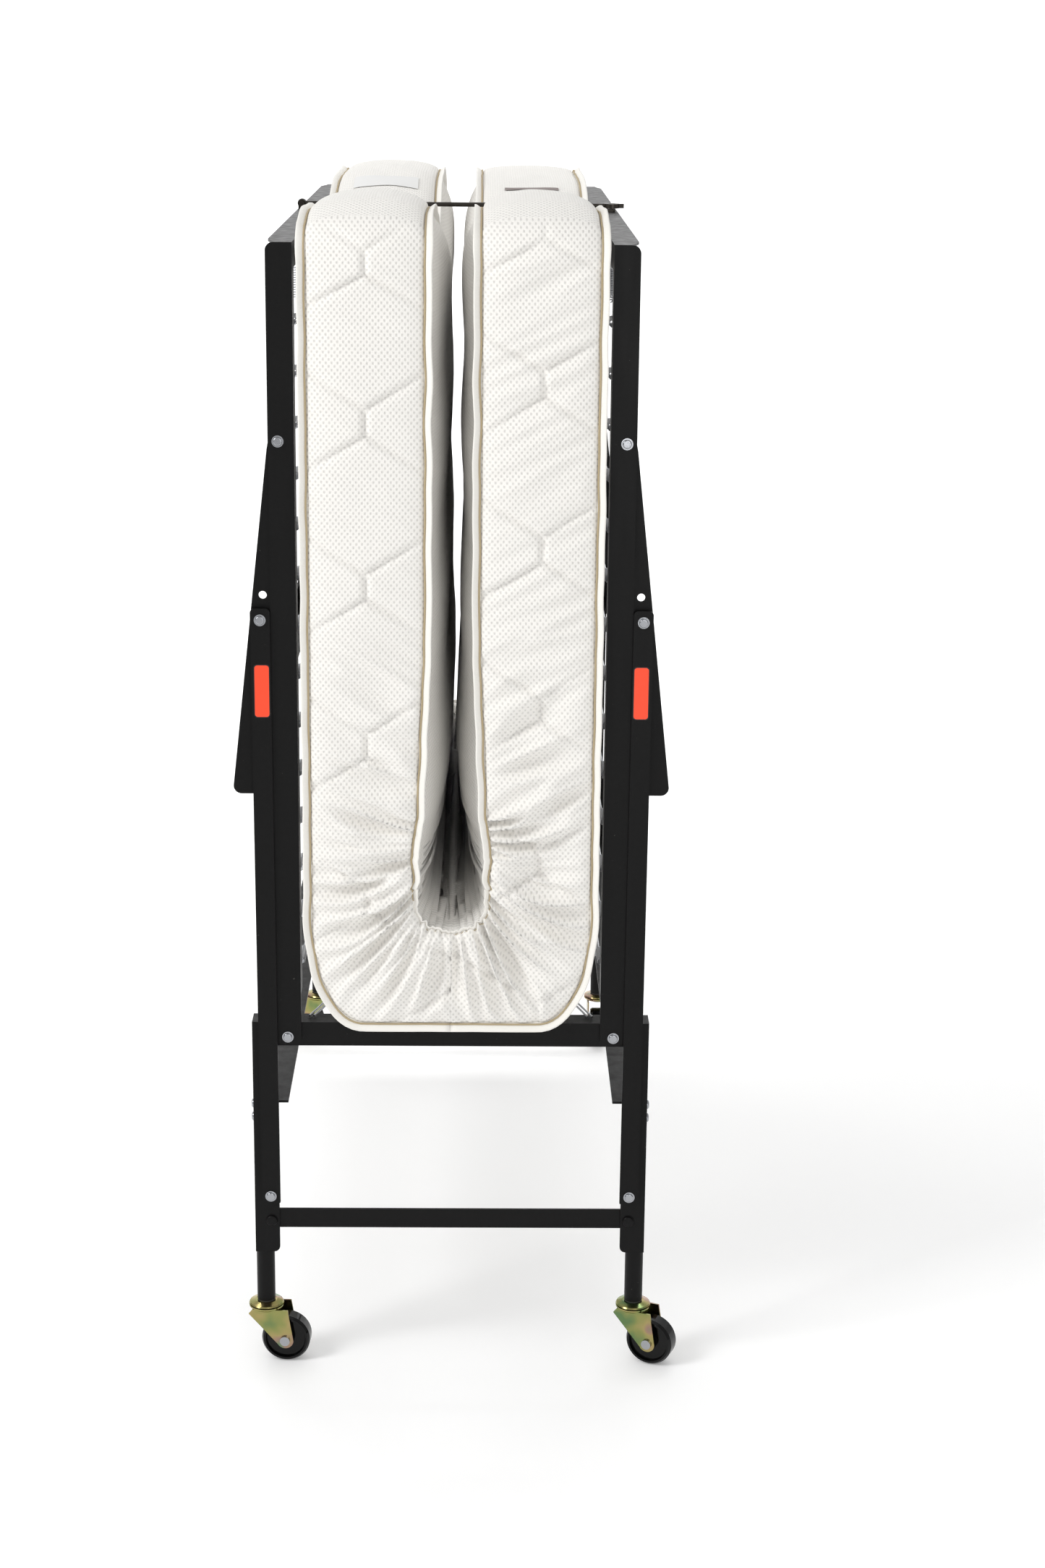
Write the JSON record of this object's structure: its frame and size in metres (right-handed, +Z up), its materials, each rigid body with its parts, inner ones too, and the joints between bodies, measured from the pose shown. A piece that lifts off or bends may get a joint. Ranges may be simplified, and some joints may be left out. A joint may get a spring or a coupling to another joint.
{
  "type": "rollaway folding bed",
  "caption": "Folding bed on casters, folded upright: angle-iron frame, hinged spring decks with end legs and parallel links, and one thick quilted mattress folded in a U.",
  "frame": {"origin": "on the floor under the middle of the folded bed", "axes": "+Z up; X along the bed when it is open, with the deck halves folding out to +X and -X; Y across the bed"},
  "size_m": [0.478, 1.0006, 1.198],
  "materials": {
    "frame_paint": "satin",
    "zinc_hardware": "satin",
    "yellow_zinc": "satin",
    "socket_plastic": "matte",
    "spring_wire": "satin",
    "lock_wire": "satin",
    "mattress_cloth": "matte",
    "wheel_plastic": "gloss"
  },
  "bodies": {
    "base": {"base_rail_near": "frame_paint", "base_rail_far": "frame_paint", "stretcher_near": "frame_paint", "stretcher_far": "frame_paint", "cross_member_left": "frame_paint", "cross_member_right": "frame_paint", "cross_member_rivets": "zinc_hardware", "stretcher_rivets": "frame_paint", "deck_pivot_bolts": "zinc_hardware", "link_pivot_bolts": "zinc_hardware", "caster_stems": "yellow_zinc", "caster_sockets": "socket_plastic", "fold_support_wires": "spring_wire", "mattress_fold": "mattress_cloth", "base_leg_left_near": "frame_paint", "base_leg_left_far": "frame_paint", "base_leg_right_near": "frame_paint", "base_leg_right_far": "frame_paint"},
    "deck_left": {"left_side_rail_near": "frame_paint", "left_side_rail_far": "frame_paint", "left_end_rail": "frame_paint", "left_link_mesh": "spring_wire", "left_springs": "spring_wire", "left_mattress": "mattress_cloth", "left_leg_pivot_bolts": "zinc_hardware", "lock_rod_hinge": "lock_wire"},
    "end_leg_left": {"left_end_leg_near": "frame_paint", "left_end_leg_far": "frame_paint", "left_foot_bar": "frame_paint", "left_link_end_bolts": "zinc_hardware"},
    "link_left_near": {"left_link_near": "frame_paint"},
    "swivel_left_near": {"caster_fork_left_near": "yellow_zinc", "caster_axle_left_near": "zinc_hardware"},
    "wheel_left_near": {"caster_wheel_left_near": "wheel_plastic"},
    "link_left_far": {"left_link_far": "frame_paint"},
    "swivel_left_far": {"caster_fork_left_far": "yellow_zinc", "caster_axle_left_far": "zinc_hardware"},
    "wheel_left_far": {"caster_wheel_left_far": "wheel_plastic"},
    "deck_right": {"right_side_rail_near": "frame_paint", "right_side_rail_far": "frame_paint", "right_end_rail": "frame_paint", "right_link_mesh": "spring_wire", "right_springs": "spring_wire", "right_mattress": "mattress_cloth", "right_leg_pivot_bolts": "zinc_hardware", "lock_rod_rest": "lock_wire"},
    "end_leg_right": {"right_end_leg_near": "frame_paint", "right_end_leg_far": "frame_paint", "right_foot_bar": "frame_paint", "right_link_end_bolts": "zinc_hardware"},
    "link_right_near": {"right_link_near": "frame_paint"},
    "swivel_right_near": {"caster_fork_right_near": "yellow_zinc", "caster_axle_right_near": "zinc_hardware"},
    "wheel_right_near": {"caster_wheel_right_near": "wheel_plastic"},
    "link_right_far": {"right_link_far": "frame_paint"},
    "swivel_right_far": {"caster_fork_right_far": "yellow_zinc", "caster_axle_right_far": "zinc_hardware"},
    "wheel_right_far": {"caster_wheel_right_far": "wheel_plastic"},
    "lock_rod": {"lock_rod": "lock_wire"}
  },
  "joints": [
    {"name": "deck_left_fold", "type": "hinge", "parent": "base", "child": "deck_left", "pos_m": [-0.1662, 0, 0.3656], "axis": [0, -1, 0], "range_deg": [0, 91]},
    {"name": "end_leg_left_pivot", "type": "hinge", "parent": "deck_left", "child": "end_leg_left", "pos_m": [-0.1682, 0, 0.9755], "axis": [0, -1, 0], "range_deg": [-91, 0]},
    {"name": "link_left_near_pivot", "type": "hinge", "parent": "base", "child": "link_left_near", "pos_m": [-0.1858, 0, 0.1907], "axis": [0, -1, 0], "range_deg": [0, 91]},
    {"name": "swivel_left_near_turn", "type": "hinge", "parent": "base", "child": "swivel_left_near", "pos_m": [-0.1935, -0.473, 0], "axis": [0, 0, 1], "continuous": true},
    {"name": "wheel_left_near_spin", "type": "hinge", "parent": "swivel_left_near", "child": "wheel_left_near", "pos_m": [-0.17228, -0.47486, 0.0254], "axis": [0.0872, 0.9962, 0], "continuous": true},
    {"name": "link_left_far_pivot", "type": "hinge", "parent": "base", "child": "link_left_far", "pos_m": [-0.1858, 0, 0.1907], "axis": [0, -1, 0], "range_deg": [0, 91]},
    {"name": "swivel_left_far_turn", "type": "hinge", "parent": "base", "child": "swivel_left_far", "pos_m": [-0.1935, 0.473, 0], "axis": [0, 0, 1], "continuous": true},
    {"name": "wheel_left_far_spin", "type": "hinge", "parent": "swivel_left_far", "child": "wheel_left_far", "pos_m": [-0.21296, 0.48166, 0.0254], "axis": [-0.4067, -0.9135, 0], "continuous": true},
    {"name": "deck_right_fold", "type": "hinge", "parent": "base", "child": "deck_right", "pos_m": [0.1662, 0, 0.3656], "axis": [0, 1, 0], "range_deg": [0, 91]},
    {"name": "end_leg_right_pivot", "type": "hinge", "parent": "deck_right", "child": "end_leg_right", "pos_m": [0.1682, 0, 0.9755], "axis": [0, 1, 0], "range_deg": [-91, 0]},
    {"name": "link_right_near_pivot", "type": "hinge", "parent": "base", "child": "link_right_near", "pos_m": [0.1858, 0, 0.1907], "axis": [0, 1, 0], "range_deg": [0, 91]},
    {"name": "swivel_right_near_turn", "type": "hinge", "parent": "base", "child": "swivel_right_near", "pos_m": [0.1935, -0.473, 0], "axis": [0, 0, 1], "continuous": true},
    {"name": "wheel_right_near_spin", "type": "hinge", "parent": "swivel_right_near", "child": "wheel_right_near", "pos_m": [0.21296, -0.48166, 0.0254], "axis": [0.4067, 0.9135, 0], "continuous": true},
    {"name": "link_right_far_pivot", "type": "hinge", "parent": "base", "child": "link_right_far", "pos_m": [0.1858, 0, 0.1907], "axis": [0, 1, 0], "range_deg": [0, 91]},
    {"name": "swivel_right_far_turn", "type": "hinge", "parent": "base", "child": "swivel_right_far", "pos_m": [0.1935, 0.473, 0], "axis": [0, 0, 1], "continuous": true},
    {"name": "wheel_right_far_spin", "type": "hinge", "parent": "swivel_right_far", "child": "wheel_right_far", "pos_m": [0.1935, 0.4517, 0.0254], "axis": [1, 0, 0], "continuous": true},
    {"name": "lock_rod_lift", "type": "hinge", "parent": "deck_left", "child": "lock_rod", "pos_m": [-0.1735, 0, 1.17], "axis": [0, -1, 0], "range_deg": [0, 150]}
  ],
  "couplings": [
    {"joint": "end_leg_left_pivot", "follows": "deck_left_fold", "ratio": -1},
    {"joint": "link_left_near_pivot", "follows": "deck_left_fold", "ratio": 1},
    {"joint": "link_left_far_pivot", "follows": "deck_left_fold", "ratio": 1},
    {"joint": "end_leg_right_pivot", "follows": "deck_right_fold", "ratio": -1},
    {"joint": "link_right_near_pivot", "follows": "deck_right_fold", "ratio": 1},
    {"joint": "link_right_far_pivot", "follows": "deck_right_fold", "ratio": 1}
  ]
}
